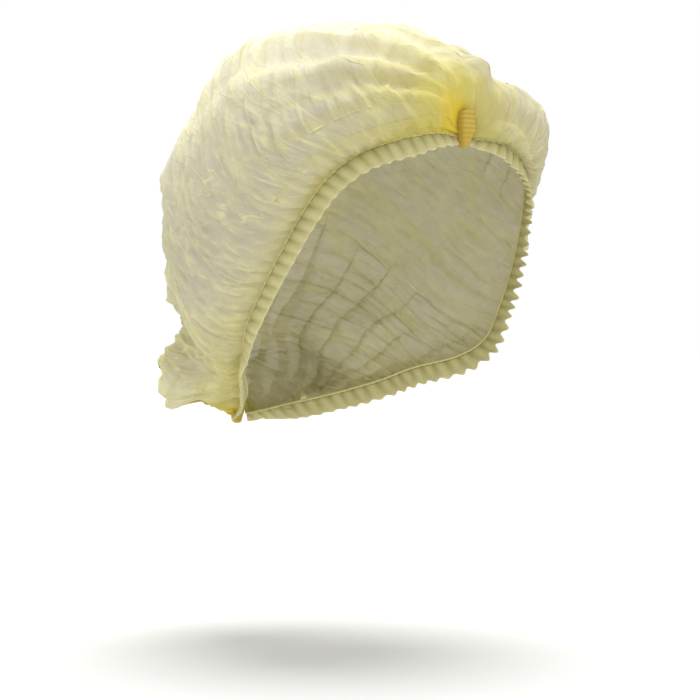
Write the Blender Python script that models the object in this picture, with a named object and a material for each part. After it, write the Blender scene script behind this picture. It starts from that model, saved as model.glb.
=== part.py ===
"""Clip cap: a gathered bouffant cap of thin nonwoven fabric, shaped as it sits on a head.

A rectangular sheet is folded like an accordion into a narrow strip.  Each end of the strip is
pressed into a ribbed clip, and an elastic thread is sealed into the hem along each long edge.
Opened and put on, the strip spreads into a crown that runs from the front clip on the forehead
over the head to the rear clip at the nape, with one ruffled hem on each side of the face.

Frame: metres, +Z up.  The wearer looks along -Y and the wearer's left is at +X.  The origin is
the point inside the top where the wearer's head bears.
"""

import math
from collections import namedtuple

import bmesh
import bpy
import numpy as np
from mathutils import Matrix

MM = 0.001

# Driving dimensions, in millimetres.
WALL = 1.0                  # crown wall
HEM_WALL = 1.0              # ruffled hem, two layers of fabric
HEM_WIDTH = 8.5             # from the elastic to the free edge
HEM_PLEATS = 36             # along one hem
HEM_PLEAT_RISE = 1.9        # crest height at the free edge
HEM_PLEAT_SLANT = 0.35      # of a pleat, from the elastic to the free edge
HEM_FLARE = 2.0             # how far the free edge stands off the head
HEM_END_WIDTH = 0.45        # of the full width, where the ruffle runs out beside a clip
HEM_END_REACH = 0.09        # of its length, over which it grows to the full width
ELASTIC_RADIUS = 0.8
GAP = 0.35                  # left between neighbouring pieces

CLIP_WIDTH = 8.0
CLIP_HEIGHT = 17.5
CLIP_DEPTH = 7.0
CLIP_RIBS = 8
CLIP_RIB_DEPTH = 0.8
CLIP_RIB_LAND = 0.5         # of a rib's pitch, its flat crest
CLIP_BEAK = 0.45            # of the height, the lower part that narrows to a beak
CLIP_BEAK_WIDTH = 0.35      # of the full width, at the beak's tip
CLIP_BEAK_DEPTH = 0.70      # of the full depth, at the beak's tip
CLIP_BEAK_LEAN = 0.65       # sideways shift of the tip
CLIP_SHOULDER = 0.15        # of the height, the upper part that narrows again
CLIP_TOP_WIDTH = 0.65       # of the full width, at the very top
FRONT_CLIP = np.array([0.0, -85.5, -63.0])   # back of the lower end
REAR_CLIP = np.array([0.0, 85.5, -196.0])

# The crown's form: one row for each section across the strip, from front clip to rear clip.
# A section runs from the hem over its widest point, the side, to the ridge on top.  The hem
# and the side are given for the wearer's left, and the right mirrors them.
Section = namedtuple("Section", "hem_x hem_y hem_z side_x side_y side_z top_y top_z")
SECTIONS = [
    Section(5.0, -87.0, -58.0, 6.4, -87.5, -53.0, -88.0, -43.2),
    Section(13.0, -89.5, -57.0, 16.0, -92.5, -46.0, -92.0, -33.0),
    Section(24.0, -88.0, -58.0, 28.0, -91.0, -44.5, -86.5, -22.5),
    Section(37.0, -81.5, -61.5, 42.0, -85.5, -46.5, -74.0, -13.5),
    Section(50.0, -71.5, -67.5, 56.0, -74.5, -51.5, -55.0, -4.5),
    Section(59.5, -60.5, -78.0, 68.5, -58.5, -58.5, -33.0, 1.5),
    Section(66.0, -50.0, -93.5, 78.0, -40.0, -67.0, -8.0, 5.5),
    Section(70.5, -39.5, -111.0, 83.5, -18.0, -78.0, 19.0, 4.0),
    Section(73.5, -28.5, -128.5, 86.0, 5.0, -90.0, 45.0, -6.0),
    Section(74.5, -17.0, -146.0, 83.5, 26.0, -105.0, 68.0, -23.0),
    Section(67.0, -5.0, -156.0, 76.5, 43.0, -121.0, 87.5, -51.0),
    Section(54.0, 14.0, -163.0, 62.5, 52.0, -138.0, 98.5, -88.0),
    Section(42.0, 28.0, -171.0, 48.0, 60.0, -152.0, 100.0, -124.0),
    Section(27.0, 46.0, -179.0, 45.0, 87.0, -167.0, 94.0, -149.0),
    Section(15.0, 65.0, -185.0, 36.0, 96.0, -182.0, 105.0, -160.0),
    Section(8.0, 77.0, -189.0, 16.0, 97.0, -188.0, 105.0, -171.0),
    Section(5.0, 85.5, -191.5, 6.4, 87.5, -187.0, 88.0, -176.2),
]
SIDE_AT = 0.70              # place of the side between the ridge, 0, and the hem, 1
TUCK = 0.8                  # share of the wall's last stretch that runs straight in to the head

# The cap sits a little lower and fuller on the wearer's left: shift of that side at its most,
# and the power of the place along the strip that puts it ahead of the middle.
LEFT_SHIFT = np.array([5.0, -5.0, -5.0])
LEFT_SHIFT_LEAN = 0.7

# Long folds of the accordion that stay open beside the clips, one row each: place across the
# strip, from -1 at the right hem to 1 at the left one, where the fold starts and ends along
# the strip, its crest height, and its half width across.
Fold = namedtuple("Fold", "across start end rise half_width")
FOLDS = [
    Fold(-0.83, 0.02, 0.30, 2.0, 0.05),
    Fold(-0.66, 0.02, 0.40, 2.5, 0.06),
    Fold(-0.57, 0.03, 0.34, -2.0, 0.05),
    Fold(-0.47, 0.03, 0.55, 2.5, 0.05),
    Fold(-0.39, 0.03, 0.62, -4.0, 0.05),
    Fold(-0.28, 0.02, 0.66, 3.5, 0.06),
    Fold(-0.14, 0.02, 0.34, -2.5, 0.05),
    Fold(-0.02, 0.02, 0.38, 2.0, 0.05),
    Fold(0.10, 0.02, 0.30, -3.0, 0.05),
    Fold(0.22, 0.02, 0.40, 2.0, 0.06),
    Fold(0.38, 0.02, 0.42, -3.5, 0.06),
    Fold(0.62, 0.02, 0.50, 2.5, 0.08),
    Fold(-0.76, 0.78, 0.99, 3.0, 0.05),
    Fold(-0.36, 0.66, 0.98, 3.0, 0.08),
    Fold(-0.16, 0.74, 0.98, -3.0, 0.06),
    Fold(0.02, 0.70, 0.98, 3.0, 0.06),
    Fold(0.18, 0.74, 0.98, -3.0, 0.06),
    Fold(0.36, 0.66, 0.98, 3.0, 0.08),
    Fold(0.76, 0.78, 0.99, 3.0, 0.05),
]

# Puffs and dents, one row each: place along and across the strip, height, and half sizes.
Puff = namedtuple("Puff", "along across rise half_along half_across")
PUFFS = [
    Puff(0.17, 0.60, 6.5, 0.07, 0.22),
    Puff(0.12, 0.28, -3.0, 0.04, 0.10),
    Puff(0.17, -0.60, 2.5, 0.07, 0.20),
    Puff(0.60, -0.52, -3.5, 0.02, 0.12),
    Puff(0.47, 0.50, -3.0, 0.03, 0.16),
    Puff(0.62, -0.25, -2.5, 0.03, 0.20),
    Puff(0.66, 0.30, -3.0, 0.03, 0.18),
    Puff(0.80, -0.55, -3.5, 0.02, 0.20),
    Puff(0.80, 0.55, -3.5, 0.02, 0.20),
    Puff(0.85, -0.58, 4.5, 0.02, 0.16),
    Puff(0.85, 0.58, 4.5, 0.02, 0.16),
    Puff(0.91, -0.74, 4.0, 0.02, 0.05),
    Puff(0.93, -0.82, -7.0, 0.025, 0.05),
    Puff(0.93, 0.82, -5.0, 0.025, 0.05),
]

RIBS = 19                   # gathers across the whole strip
RIB_RISE_TOP = 0.5
RIB_RISE_HEM = 1.4
RIB_PEAK_AT = 0.86          # across, where the gathers stand highest
RIB_FADE = 0.1              # across, over which they flatten into the hem seam
FOLD_LEAN = 0.6             # power that puts a fold's highest point near its start

CROWN_STEPS_ALONG = 4 * RIBS
CROWN_STEPS_ACROSS = 22
CROWDING = 0.25             # how far the crown's grid lines crowd towards the hems
NORMAL_STEP = 0.002         # along and across, for the form's slope
HEM_STEPS_ALONG = 4 * HEM_PLEATS
HEM_STEPS_ACROSS = 2
ELASTIC_START = 0.014       # along the crown, clear of the clips
HEM_START = 1.0             # along the elastic, clear of the clips
OUT_OF_HEAD = np.array([1.0, 0.8, 0.0])   # turns a place into the level way out from the head

YELLOW = (0.80, 0.74, 0.42)
DEEP_YELLOW = (0.72, 0.62, 0.24)
OLIVE = (0.52, 0.48, 0.20)
AMBER = (0.80, 0.50, 0.08)


def clear_scene():
    """Remove the objects of the file that the script runs in."""
    for old in list(bpy.data.objects):
        bpy.data.objects.remove(old, do_unlink=True)


def fabric(name, colour, roughness):
    """A matte Principled material."""
    material = bpy.data.materials.new(name)
    material.use_nodes = True
    shader = material.node_tree.nodes["Principled BSDF"]
    shader.inputs["Base Color"].default_value = (*colour, 1.0)
    shader.inputs["Roughness"].default_value = roughness
    shader.inputs["Metallic"].default_value = 0.0
    return material


def curve_between(start, leave, end, arrive, part):
    """A cubic from start to end, with the given directions at its ends."""
    square = part * part
    cube = square * part
    return ((2 * cube - 3 * square + 1) * start + (cube - 2 * square + part) * leave
            + (3 * square - 2 * cube) * end + (cube - square) * arrive)


def unit(vectors):
    """Scale vectors to length 1."""
    return vectors / np.linalg.norm(vectors, axis=-1, keepdims=True)


def through(rows, at):
    """Read a smooth curve through equally spaced rows at the row numbers in at."""
    rows = np.asarray(rows, float)
    last = len(rows) - 1
    index = np.clip(np.floor(at).astype(int), 0, last - 1)
    part = (at - index)[..., None]
    before = rows[np.maximum(index - 1, 0)]
    start = rows[index]
    end = rows[index + 1]
    after = rows[np.minimum(index + 2, last)]
    return curve_between(start, 0.5 * (end - before), end, 0.5 * (after - start), part)


def row_places():
    """How far along the strip each section lies, from 0 to 1, by mean length."""
    table = np.array(SECTIONS)
    steps = np.diff(table, axis=0)
    hem = np.linalg.norm(steps[:, 0:3], axis=1)
    side = np.linalg.norm(steps[:, 3:6], axis=1)
    top = np.linalg.norm(steps[:, 6:8], axis=1)
    places = np.concatenate([[0.0], np.cumsum(hem + side + top)])
    return places / places[-1]


def rows_turned_in():
    """The sections with two more columns: the level direction from the hem in to the head."""
    table = np.array(SECTIONS)
    run_x, run_y = np.gradient(table[:, 0:2], axis=0).T
    return np.column_stack([table, unit(np.stack([-run_y, run_x], axis=-1))])


ROW_PLACES = row_places()
ROWS = rows_turned_in()


def plain_form(along, across):
    """The crown without folds, in millimetres."""
    rows = through(ROWS, np.interp(along, ROW_PLACES, np.arange(len(ROWS))))
    hem_x, hem_y, hem_z, side_x, side_y, side_z, top_y, top_z, in_x, in_y = np.moveaxis(rows, -1, 0)
    away = np.abs(across)
    turn = np.minimum(away / SIDE_AT, 1.0)[..., None] * math.pi / 2
    low = np.clip((away - SIDE_AT) / (1.0 - SIDE_AT), 0.0, 1.0)[..., None]
    level = np.zeros_like(hem_x)
    centre = np.stack([level, side_y, side_z], axis=-1)
    side = np.stack([side_x, side_y, side_z], axis=-1)
    top = np.stack([level, top_y, top_z], axis=-1)
    hem = np.stack([hem_x, hem_y, hem_z], axis=-1)
    inward = np.stack([in_x, in_y, level], axis=-1)
    drop = np.linalg.norm(hem - side, axis=-1, keepdims=True)
    leave = unit(centre - top) * drop
    arrive = unit(TUCK * inward + (1.0 - TUCK) * (hem - side) / drop) * drop
    points = (centre + (side - centre) * np.sin(turn) + (top - centre) * np.cos(turn)
              + curve_between(side, leave, hem, arrive, low) - side)
    points[..., 0] *= np.sign(across)
    left = np.clip(across, 0.0, 1.0) * np.sin(math.pi * along ** LEFT_SHIFT_LEAN)
    return points + left[..., None] * LEFT_SHIFT


def bell(distance):
    """A smooth bump: 1 at the middle, 0 from a distance of 2."""
    return np.where(np.abs(distance) < 2.0, 0.5 + 0.5 * np.cos(distance * math.pi / 2), 0.0)


def relief(along, across):
    """Height of the folds, puffs and gathers over the plain form, in millimetres."""
    height = np.zeros_like(along)
    for fold in FOLDS:
        reach = np.clip((along - fold.start) / (fold.end - fold.start), 0.0, 1.0)
        swell = np.sin(math.pi * reach ** FOLD_LEAN) ** 2
        height += fold.rise * swell * bell((across - fold.across) / fold.half_width)
    for puff in PUFFS:
        height += (puff.rise * bell((along - puff.along) / puff.half_along)
                   * bell((across - puff.across) / puff.half_across))
    away = np.abs(across)
    near_hem = bell(2.0 * (away - RIB_PEAK_AT) / (1.0 - RIB_PEAK_AT))
    rib = RIB_RISE_TOP + (RIB_RISE_HEM - RIB_RISE_TOP) * near_hem
    fade = np.clip((1.0 - away) / RIB_FADE, 0.0, 1.0) * np.sqrt(np.sin(math.pi * along))
    return height + rib * fade * np.sin(2 * math.pi * RIBS * along)


def crown_form(along, across):
    """The folded crown's outer face, in millimetres."""
    ahead = plain_form(np.minimum(along + NORMAL_STEP, 1.0), across)
    behind = plain_form(np.maximum(along - NORMAL_STEP, 0.0), across)
    left = plain_form(along, np.minimum(across + NORMAL_STEP, 1.0))
    right = plain_form(along, np.maximum(across - NORMAL_STEP, -1.0))
    normal = unit(np.cross(left - right, ahead - behind))
    return plain_form(along, across) + normal * relief(along, across)[..., None]


def sheet(name, steps_along, steps_across, place, wall, material):
    """A thickened sheet: a grid laid out by place(along, across), walled by Solidify."""
    mesh = bpy.data.meshes.new(name)
    grid = bmesh.new()
    bmesh.ops.create_grid(grid, x_segments=steps_along, y_segments=steps_across, size=1.0)
    flat = np.array([vertex.co[:] for vertex in grid.verts])
    points = place(0.5 + 0.5 * flat[:, 0], -flat[:, 1]) * MM
    for vertex, point in zip(grid.verts, points):
        vertex.co = point
    grid.to_mesh(mesh)
    grid.free()
    mesh.materials.append(material)
    mesh.shade_smooth()
    piece = bpy.data.objects.new(name, mesh)
    bpy.context.scene.collection.objects.link(piece)
    solidify = piece.modifiers.new("wall", "SOLIDIFY")
    solidify.thickness = wall * MM
    solidify.offset = -1.0
    solidify.use_even_offset = False
    return piece


def crowd(steps):
    """Crowd evenly spaced grid lines, from -1 to 1, towards the two hems."""
    return steps * (1.0 + CROWDING - CROWDING * steps * steps)


def make_crown(material):
    """The puffed body of the cap."""
    def place(along, across):
        return crown_form(along, crowd(across))

    return sheet("crown", CROWN_STEPS_ALONG, CROWN_STEPS_ACROSS, place, WALL, material)


def elastic_route(side):
    """Middle line of an elastic, just past the crown's hem edge."""
    along = np.linspace(ELASTIC_START, 1.0 - ELASTIC_START, CROWN_STEPS_ALONG + 1)
    across = np.full_like(along, side)
    edge = crown_form(along, across)
    last_line = crowd(1.0 - 2.0 / CROWN_STEPS_ACROSS)
    onward = unit(edge - crown_form(along, across * last_line))
    run = unit(np.gradient(edge, axis=0))
    outward = side * unit(np.cross(onward, run))
    middle = edge - outward * WALL / 2
    return middle + onward * (GAP + ELASTIC_RADIUS)


def make_elastic(name, side, material):
    """The thread that gathers one hem, as a bevelled curve."""
    route = elastic_route(side)
    curve = bpy.data.curves.new(name, "CURVE")
    curve.dimensions = "3D"
    spline = curve.splines.new("POLY")
    spline.points.add(len(route) - 1)
    for point, place in zip(spline.points, route * MM):
        point.co = (*place, 1.0)
    curve.bevel_depth = ELASTIC_RADIUS * MM
    curve.bevel_resolution = 0
    curve.use_fill_caps = True
    curve.materials.append(material)
    piece = bpy.data.objects.new(name, curve)
    bpy.context.scene.collection.objects.link(piece)
    return piece


def hem_form(side):
    """A function that lays out the ruffle past one elastic, in millimetres."""
    route = elastic_route(side)
    steps = np.linalg.norm(np.diff(route, axis=0), axis=1)
    reach = np.concatenate([[0.0], np.cumsum(steps)])
    run = unit(np.gradient(route, axis=0))
    level = unit(route * OUT_OF_HEAD)
    outward = unit(level - run * np.sum(level * run, axis=1, keepdims=True))
    away = side * unit(np.cross(run, outward))

    def place(along, across):
        at = HEM_START + along * (reach[-1] - 2 * HEM_START)
        width = 0.5 + 0.5 * across
        grown = np.clip(np.minimum(along, 1.0 - along) / HEM_END_REACH, 0.0, 1.0)
        taper = HEM_END_WIDTH + (1.0 - HEM_END_WIDTH) * grown

        def read(values):
            return np.stack([np.interp(at, reach, column) for column in values.T], axis=-1)

        phase = 2 * math.pi * (HEM_PLEATS * along + HEM_PLEAT_SLANT * width)
        rise = HEM_PLEAT_RISE * taper * width * np.sin(phase) + HEM_FLARE * width
        past = GAP + ELASTIC_RADIUS + HEM_WIDTH * taper * width
        return read(route) + read(away) * past[:, None] + read(outward) * rise[:, None]

    return place


def make_hem(name, side, material):
    """The ruffled band past one elastic."""
    piece = sheet(name, HEM_STEPS_ALONG, HEM_STEPS_ACROSS, hem_form(side), HEM_WALL, material)
    piece.modifiers["wall"].offset = 0.0
    return piece


def clip_profile():
    """Depth and height of the ribbed tab's outline, from the side."""
    pitch = CLIP_HEIGHT / CLIP_RIBS
    points = [(0.0, 0.0)]
    for rib in range(CLIP_RIBS):
        low = rib * pitch
        points.append((CLIP_DEPTH - CLIP_RIB_DEPTH, low))
        points.append((CLIP_DEPTH, low + (0.5 - CLIP_RIB_LAND / 2) * pitch))
        points.append((CLIP_DEPTH, low + (0.5 + CLIP_RIB_LAND / 2) * pitch))
    points.append((CLIP_DEPTH - CLIP_RIB_DEPTH, CLIP_HEIGHT))
    points.append((0.0, CLIP_HEIGHT))
    return points


def make_clip(name, corner, facing, material):
    """A ribbed weld tab that narrows to a beak at its lower end."""
    mesh = bpy.data.meshes.new(name)
    tab = bmesh.new()
    rim = []
    for depth, height in clip_profile():
        rim.append(tab.verts.new((-CLIP_WIDTH / 2, facing * depth, height)))
    side = tab.faces.new(rim)
    grown = bmesh.ops.extrude_face_region(tab, geom=[side])
    moved = [item for item in grown["geom"] if isinstance(item, bmesh.types.BMVert)]
    bmesh.ops.translate(tab, vec=(CLIP_WIDTH, 0.0, 0.0), verts=moved)
    for vertex in tab.verts:
        height = vertex.co.z / CLIP_HEIGHT
        beak = max(0.0, 1.0 - height / CLIP_BEAK)
        shoulder = max(0.0, height - 1.0 + CLIP_SHOULDER) / CLIP_SHOULDER
        width = (1.0 - (1.0 - CLIP_BEAK_WIDTH) * beak) * (1.0 - (1.0 - CLIP_TOP_WIDTH) * shoulder)
        vertex.co.x = vertex.co.x * width - CLIP_BEAK_LEAN * beak
        vertex.co.y *= 1.0 - (1.0 - CLIP_BEAK_DEPTH) * beak
    bmesh.ops.recalc_face_normals(tab, faces=tab.faces)
    bmesh.ops.transform(tab, matrix=Matrix.Translation(corner), verts=tab.verts)
    bmesh.ops.scale(tab, vec=(MM, MM, MM), verts=tab.verts)
    tab.to_mesh(mesh)
    tab.free()
    mesh.materials.append(material)
    piece = bpy.data.objects.new(name, mesh)
    bpy.context.scene.collection.objects.link(piece)
    return piece


def build():
    """Make every piece of the cap."""
    clear_scene()
    body = fabric("pale_yellow_nonwoven", YELLOW, 0.85)
    band = fabric("deep_yellow_nonwoven", DEEP_YELLOW, 0.85)
    thread = fabric("olive_elastic", OLIVE, 0.7)
    weld = fabric("amber_weld", AMBER, 0.5)
    make_crown(body)
    for name, side in (("right", -1.0), ("left", 1.0)):
        make_elastic("elastic_" + name, side, thread)
        make_hem("hem_" + name, side, band)
    make_clip("front_clip", FRONT_CLIP, -1.0, weld)
    make_clip("rear_clip", REAR_CLIP, 1.0, weld)


build()
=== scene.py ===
# %% [markdown]
# # A clip cap of spunbond nonwoven
#
# A clip cap is one thin rectangular sheet of nonwoven fabric.  It is folded like an accordion
# into a strip, both ends are welded into ribbed tabs, and an elastic thread is sealed into the
# hem along each long edge.  Worn, the strip opens into a puffed crown.  This lesson dresses the
# packed cap: the frame gives the true size and place of each piece, and every piece is then
# modelled again in fine mesh with its creases, gathers and weld ribs.

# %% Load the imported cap
import math
from collections import namedtuple

import bmesh
import bpy
import numpy as np
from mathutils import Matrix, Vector


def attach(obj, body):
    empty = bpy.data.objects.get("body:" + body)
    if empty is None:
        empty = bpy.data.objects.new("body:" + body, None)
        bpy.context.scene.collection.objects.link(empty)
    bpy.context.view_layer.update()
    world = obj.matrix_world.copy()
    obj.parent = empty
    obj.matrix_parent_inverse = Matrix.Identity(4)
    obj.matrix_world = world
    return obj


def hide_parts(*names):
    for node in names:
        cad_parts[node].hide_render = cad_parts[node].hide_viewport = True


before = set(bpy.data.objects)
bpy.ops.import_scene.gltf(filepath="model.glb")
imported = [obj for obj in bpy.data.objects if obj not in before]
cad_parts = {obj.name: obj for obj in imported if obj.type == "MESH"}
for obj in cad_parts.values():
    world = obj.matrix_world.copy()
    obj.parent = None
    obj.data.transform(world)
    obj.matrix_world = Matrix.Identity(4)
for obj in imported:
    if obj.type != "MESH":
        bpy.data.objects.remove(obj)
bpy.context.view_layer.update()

MM = 0.001
print("nodes:", sorted(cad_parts))

# %% [markdown]
# ## Camera
#
# The cap hangs in the air as a head would hold it.  The camera stands off the wearer's right
# cheek, at about the height of the ear, and looks level, so that the near hem, the front weld
# and the puffed side all show.  A long lens from a little under one metre keeps the
# perspective calm.

# %% Camera
VIEW_TURN = math.radians(-40.0)
VIEW_DISTANCE = 0.95
VIEW_HEIGHT = -0.157
VIEW_SHIFT = 0.0035             # to the camera's right
LENS_MM = 97.7

right = Vector((math.cos(VIEW_TURN), math.sin(VIEW_TURN), 0.0))
back = Vector((math.sin(VIEW_TURN), -math.cos(VIEW_TURN), 0.0))
middle = Vector((0.0, 0.0, VIEW_HEIGHT)) + VIEW_SHIFT * right
scene = bpy.context.scene
scene.view_settings.view_transform = "Standard"

camera = bpy.data.objects.new("camera", bpy.data.cameras.new("camera"))
camera.location = middle + VIEW_DISTANCE * back
camera.rotation_mode = "QUATERNION"
camera.rotation_quaternion = (-back).to_track_quat("-Z", "Y")
camera.data.lens = LENS_MM
scene.collection.objects.link(camera)
scene.camera = camera
print("camera at", [round(c, 3) for c in camera.location])

# %% [markdown]
# ## Light and floor
#
# The light is a pale studio: a white world that fills every fold, and one wide lamp, almost
# overhead, that gives the top more light than the side.

# %% Light and floor
HEAD_HEIGHT = 0.305             # a display head, from its base to its top
FLOOR_SIZE = 20.0


def linear(hex_colour):
    """Turn an sRGB hex colour into the linear RGBA that nodes take."""
    parts = [int(hex_colour[at:at + 2], 16) / 255 for at in (1, 3, 5)]
    return (*[c / 12.92 if c <= 0.04045 else ((c + 0.055) / 1.055) ** 2.4 for c in parts], 1.0)


def add_sun(name, elevation, turn, softness, strength):
    """A wide soft sun; elevation and turn in degrees, the turn from +X towards +Y."""
    sun = bpy.data.objects.new(name, bpy.data.lights.new(name, "SUN"))
    sun.data.energy = strength
    sun.data.angle = math.radians(softness)
    high, round_z = math.radians(elevation), math.radians(turn)
    towards = Vector((math.cos(high) * math.cos(round_z), math.cos(high) * math.sin(round_z),
                      math.sin(high)))
    sun.rotation_mode = "QUATERNION"
    sun.rotation_quaternion = (-towards).to_track_quat("-Z", "Y")
    scene.collection.objects.link(sun)


scene.world = bpy.data.worlds.new("studio")
scene.world.use_nodes = True
scene.world.node_tree.nodes["Background"].inputs["Color"].default_value = linear("#ffffff")
scene.world.node_tree.nodes["Background"].inputs["Strength"].default_value = 1.0
add_sun("key", elevation=80.0, turn=30.0, softness=40.0, strength=2.55)

floor_mesh = bpy.data.meshes.new("floor")
floor_grid = bmesh.new()
bmesh.ops.create_grid(floor_grid, x_segments=1, y_segments=1, size=FLOOR_SIZE)
bmesh.ops.translate(floor_grid, vec=(0.0, 0.0, -HEAD_HEIGHT), verts=floor_grid.verts)
floor_grid.to_mesh(floor_mesh)
floor_grid.free()
floor = bpy.data.objects.new("floor", floor_mesh)
scene.collection.objects.link(floor)
print("floor at", -HEAD_HEIGHT)

# %% [markdown]
# ## Helpers for materials
#
# Each finish is a small tree of nodes.  One helper adds a node, with what goes into its sockets
# and how it is set, and gives back its output, so that calls can be nested like sums.  Colours
# are written as hex, and one function turns them to the linear values that nodes take.

# %% Helpers for materials


def add(tree, kind, *operands, output=0, **settings):
    """Add a node and return one of its outputs.

    The operands fill its sockets in order.  In the settings, a lower-case name is a property
    of the node and a capital one a socket, with _ for a space; socket_6 is its socket 6."""
    node = tree.nodes.new("ShaderNode" + kind)
    sockets = dict(enumerate(operands))
    for name, value in settings.items():
        if name.startswith("socket_"):
            sockets[int(name[7:])] = value
        elif name[0].islower():
            setattr(node, name, value)
        else:
            sockets[name.replace("_", " ")] = value
    for key, value in sockets.items():
        if isinstance(value, bpy.types.NodeSocket):
            tree.links.new(value, node.inputs[key])
        else:
            node.inputs[key].default_value = linear(value) if isinstance(value, str) else value
    return node.outputs[output] if node.outputs else None


def new_material(name):
    """An empty node material, with its node tree."""
    material = bpy.data.materials.new(name)
    material.use_nodes = True
    material.node_tree.nodes.clear()
    return material, material.node_tree


print("the hex grey #808080 is %.3f in linear light" % linear("#808080")[0])

# %% [markdown]
# ## Painted floor
#
# Matte wall paint, rolled on: no gloss at all.  White paint would throw so much light up that
# the sides of the cap lost their shade, so the paint is a light grey that still looks white
# where the lamp falls on it.

# %% Painted floor
floor_paint, tree = new_material("matte_light_grey_paint")
add(tree, "OutputMaterial",
    add(tree, "BsdfPrincipled", "#d4d4d2", Roughness=0.9, Specular_IOR_Level=0.1))
floor.data.materials.append(floor_paint)
print("floor:", floor_paint.name)

# %% [markdown]
# ## Patterns of fine creases
#
# Thin nonwoven takes creases far finer than a mesh can carry.  Two patterns draw them: wisps,
# the long soft lines that run up from a gathered hem, and crumples, the net of short bent lines
# that is left when the sheet has been squashed.  Both are laid out in the cloth's own UV map,
# where 1 is 100 mm of cloth, so they follow the sheet into its pleats.

# %% Patterns of fine creases
UV_MM = 100.0                   # of cloth to one unit of its UV map


def lengthened(tree, place, size, stretch):
    """The cloth's UV place, scaled so that one unit is size millimetres, or stretch times that."""
    return add(tree, "Mapping", place, Scale=(UV_MM / size, UV_MM / (size * stretch), 1.0))


def near_line(tree, distance, sharpness, falloff):
    """1 on a line, falling to 0 beside it."""
    off = add(tree, "Math", distance, sharpness, operation="MULTIPLY")
    near = add(tree, "Math", 1.0, off, operation="SUBTRACT", use_clamp=True)
    return add(tree, "Math", near, falloff, operation="POWER")


def wisps(tree, place, size, stretch, sharpness):
    """Long soft creases: the lines along which a cloudy noise crosses one half."""
    noise = add(tree, "TexNoise", lengthened(tree, place, size, stretch), noise_dimensions="2D",
                noise_type="FBM", Scale=1.0, Detail=2.5, Roughness=0.55, Distortion=0.45)
    above = add(tree, "Math", noise, 0.5, operation="SUBTRACT")
    return near_line(tree, add(tree, "Math", above, operation="ABSOLUTE"), sharpness, 1.6)


def crumples(tree, place, size, stretch, sharpness):
    """A net of short bent creases, and how far inside its cells each place lies."""
    scaled = lengthened(tree, place, size, stretch)
    bend = add(tree, "TexNoise", scaled, noise_dimensions="2D", Scale=0.9, Detail=2.5,
               output="Color")
    bend = add(tree, "VectorMath", bend, operation="SCALE", Scale=1.3)
    bent = add(tree, "VectorMath", scaled, bend, operation="ADD")
    inward = add(tree, "TexVoronoi", bent, voronoi_dimensions="2D", feature="DISTANCE_TO_EDGE",
                 Scale=1.0, output="Distance")
    return near_line(tree, inward, sharpness, 1.4), inward


print("one unit of the cloth's map is", UV_MM, "mm")

# %% [markdown]
# ## Parts of the fabric's material
#
# The finish is built from three parts.  The first shares the sheet between the two patterns:
# a soft large noise leaves some patches drawn out into wisps and others crumpled.  The second
# says where the paler inside colour shows: on the inner face, and as painted backlight where
# light would come through from behind.  The third makes the body: matte, a little translucent,
# and open by a small share, as a thin sheet of filaments is.

# %% Parts of the fabric's material
PATCH_SCALE = 4.0               # 25 mm patches, creased more one way or the other
WISP_MM = 10.0
CRUMPLE_MM = 10.0
INNER_SHARE = 0.6               # how much of the pale inside colour the inner face shows
TRANSLUCENT = 0.045


def drawn_creases(tree, place):
    """The lines of both patterns, and how far inside the crumples' cells each place lies."""
    patchy = add(tree, "TexNoise", place, noise_dimensions="2D", Scale=PATCH_SCALE, Detail=1.0)
    long_ones = add(tree, "Math", wisps(tree, place, WISP_MM, 4.5, 15.0),
                    add(tree, "MapRange", patchy, 0.36, 0.60, 0.15, 1.0), operation="MULTIPLY")
    net, swell = crumples(tree, place, CRUMPLE_MM, 2.2, 5.0)
    net = add(tree, "Math", net, 0.6, operation="MULTIPLY")
    net = add(tree, "Math", net, add(tree, "MapRange", patchy, 0.40, 0.62, 1.0, 0.2),
              operation="MULTIPLY")
    return add(tree, "Math", long_ones, net, operation="MAXIMUM"), swell


def pale_share(tree):
    """How much of the inside colour shows: on the inner face, and as painted backlight."""
    airy, turned = [add(tree, "Attribute", attribute_name=field, output="Fac")
                    for field in ("airy", "turned")]
    # a turned layer shows the other side than the one that faces the eye
    inner = add(tree, "Math", add(tree, "NewGeometry", output="Backfacing"), turned,
                operation="SUBTRACT")
    inner = add(tree, "Math", inner, operation="ABSOLUTE")
    inner = add(tree, "Math", inner, INNER_SHARE, operation="MULTIPLY")
    return add(tree, "Math", airy, inner, operation="MAXIMUM")


def thin_body(tree, colour, bump, opening):
    """A matte sheet, a little translucent, that is open by the given share."""
    front = add(tree, "BsdfPrincipled", colour, Roughness=0.8, Specular_IOR_Level=0.2,
                Normal=bump)
    through = add(tree, "BsdfTranslucent", colour, Normal=bump)
    body = add(tree, "MixShader", TRANSLUCENT, front, through)
    add(tree, "OutputMaterial",
        add(tree, "MixShader", opening, body, add(tree, "BsdfTransparent")))


print("patches of about %.0f mm" % (UV_MM / PATCH_SCALE))
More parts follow.
